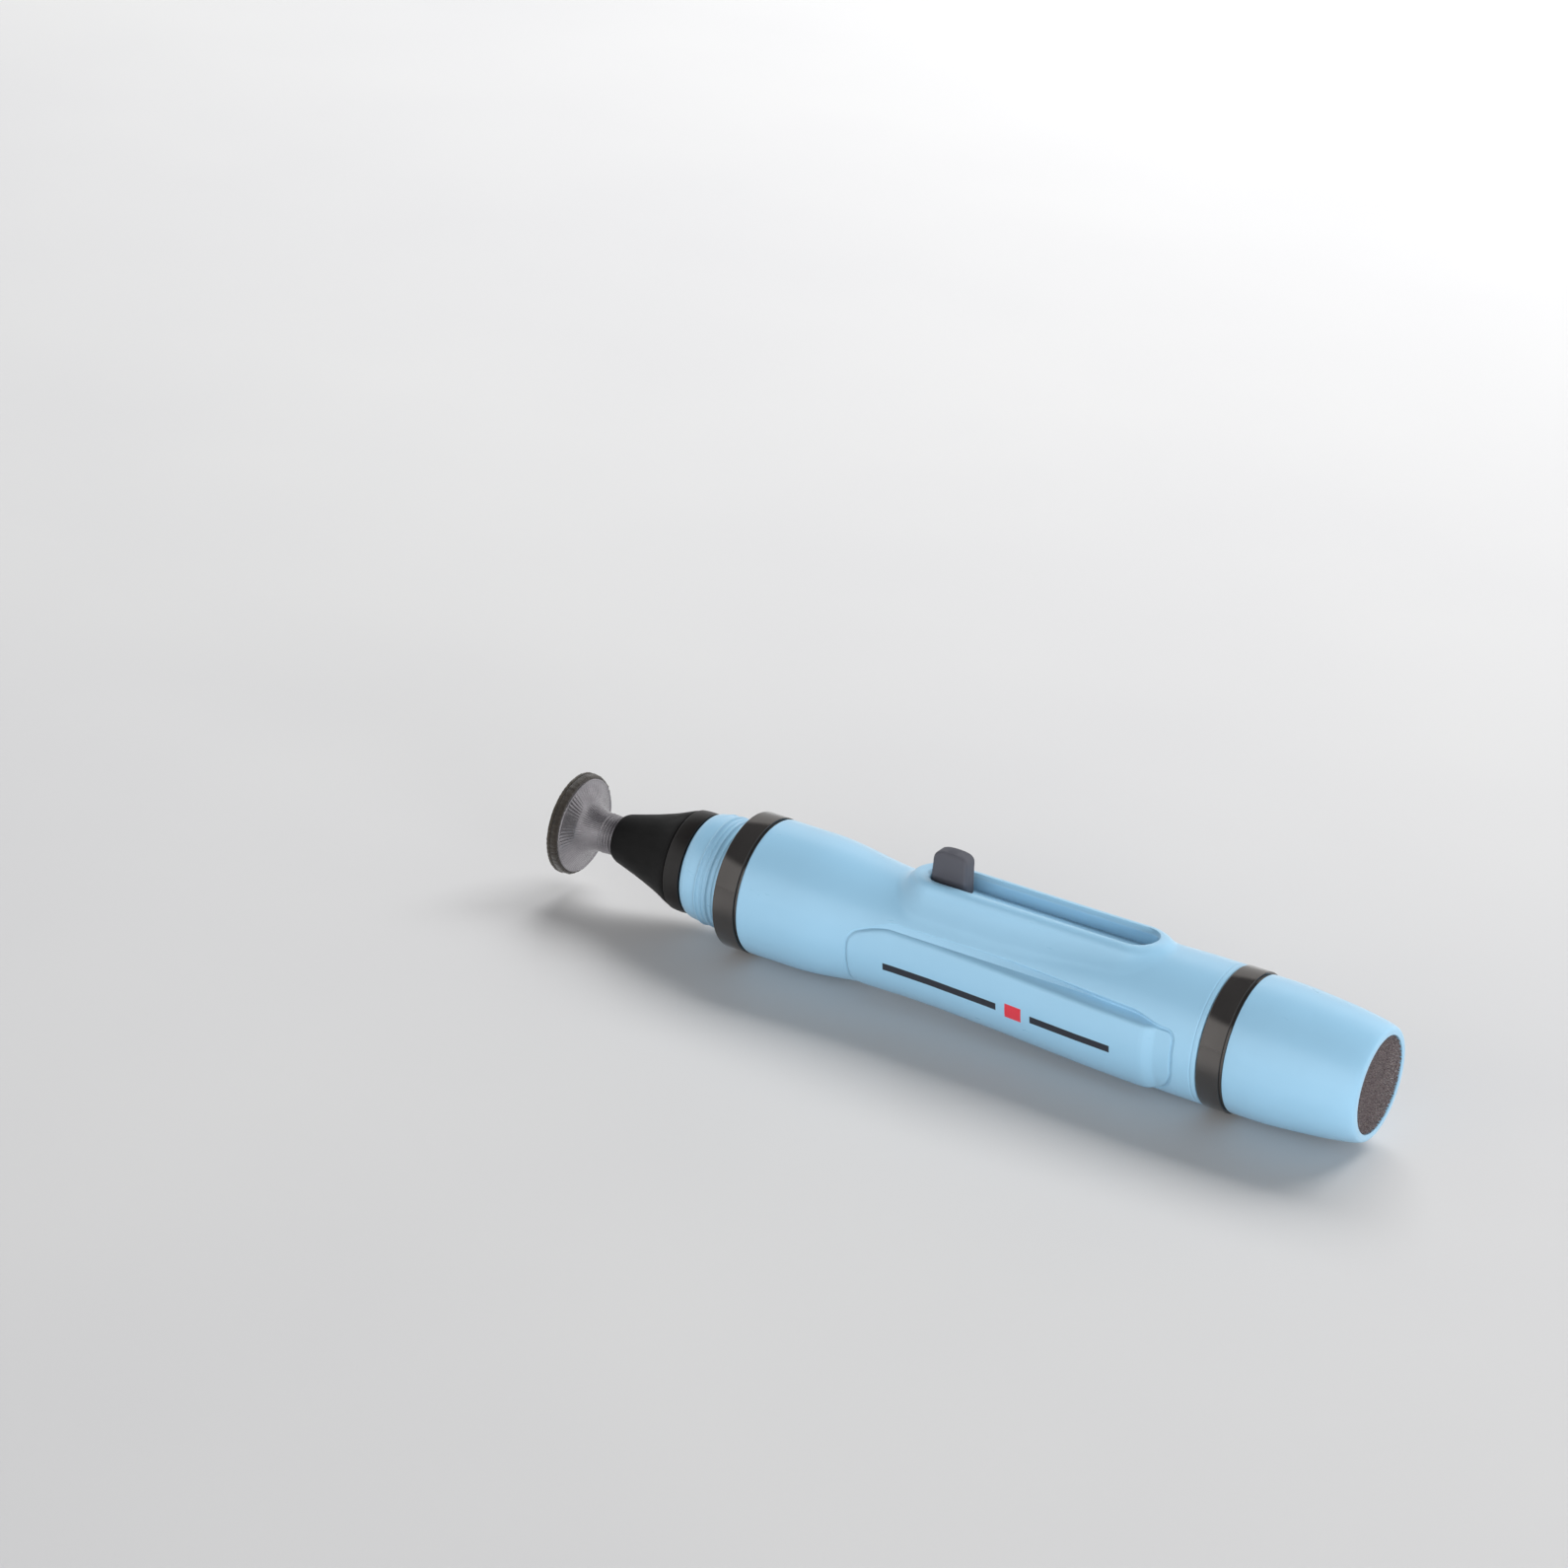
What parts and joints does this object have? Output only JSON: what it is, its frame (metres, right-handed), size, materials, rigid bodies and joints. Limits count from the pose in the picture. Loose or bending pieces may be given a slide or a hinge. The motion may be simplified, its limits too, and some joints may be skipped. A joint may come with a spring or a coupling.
{
  "type": "lens cleaning pen",
  "caption": "Pocket lens cleaning pen: waisted blue barrel, thumb slider for a dust brush, and a round pad on a flexible rubber stem.",
  "frame": {"origin": "below the middle of the pen, on the flat surface that its two rings rest on", "axes": "+X along the pen towards the brush end, +Z towards the slider button's side, +Y across"},
  "size_m": [0.1088, 0.0174, 0.0205],
  "materials": {
    "sky_plastic": "satin gloss, pale sky blue moulding",
    "black_nickel": "polished black nickel plating",
    "black_plastic": "fine matt black moulding",
    "seal_rubber": "smooth dark rubber",
    "tip_rubber": "soft grey-black rubber with fine ribs",
    "pad_felt": "dark felt",
    "pad_leather": "suede nap, charged with dark powder",
    "button_plastic": "matt dark grey moulding",
    "inner_plastic": "plain unpainted moulding",
    "spring_steel": "rolled spring strip",
    "ferrule_metal": "turned tube",
    "bristles": "fine soft hairs cut level"
  },
  "bodies": {
    "barrel": {"barrel": "sky_plastic", "neck_sleeve": "sky_plastic", "tip_ring": "black_nickel", "nose_ring": "black_nickel", "nose_cone": "sky_plastic", "brush_guide_bush": "inner_plastic", "end_stop_plug": "inner_plastic", "tip_cone": "black_plastic", "cap_seal_ring": "seal_rubber", "stem_root": "tip_rubber"},
    "brush": {"slider_button": "button_plastic", "slider_carriage": "inner_plastic", "detent_spring": "spring_steel", "brush_tube": "black_plastic", "brush_ferrule": "ferrule_metal", "bristle_root_plug": "inner_plastic", "bristle_tuft": "bristles"},
    "tip_mid": {"stem_core": "tip_rubber"},
    "tip_head": {"tip_cup": "tip_rubber", "pad_backing": "pad_felt", "cleaning_pad": "pad_leather"}
  },
  "joints": [
    {"name": "brush_slide", "type": "slide", "parent": "barrel", "child": "brush", "axis": [1, 0, 0], "range_m": [0, 0.0225]},
    {"name": "stem_nod", "type": "hinge", "parent": "barrel", "child": "tip_mid", "pos_m": [-0.04845, 0, 0.0085], "axis": [0, 1, 0], "range_deg": [-15, 15], "stiffness_Nm_per_rad": 0.011},
    {"name": "stem_sway", "type": "hinge", "parent": "tip_mid", "child": "tip_head", "pos_m": [-0.04945, 0, 0.0085], "axis": [0, 0, 1], "range_deg": [-15, 15], "stiffness_Nm_per_rad": 0.011}
  ]
}
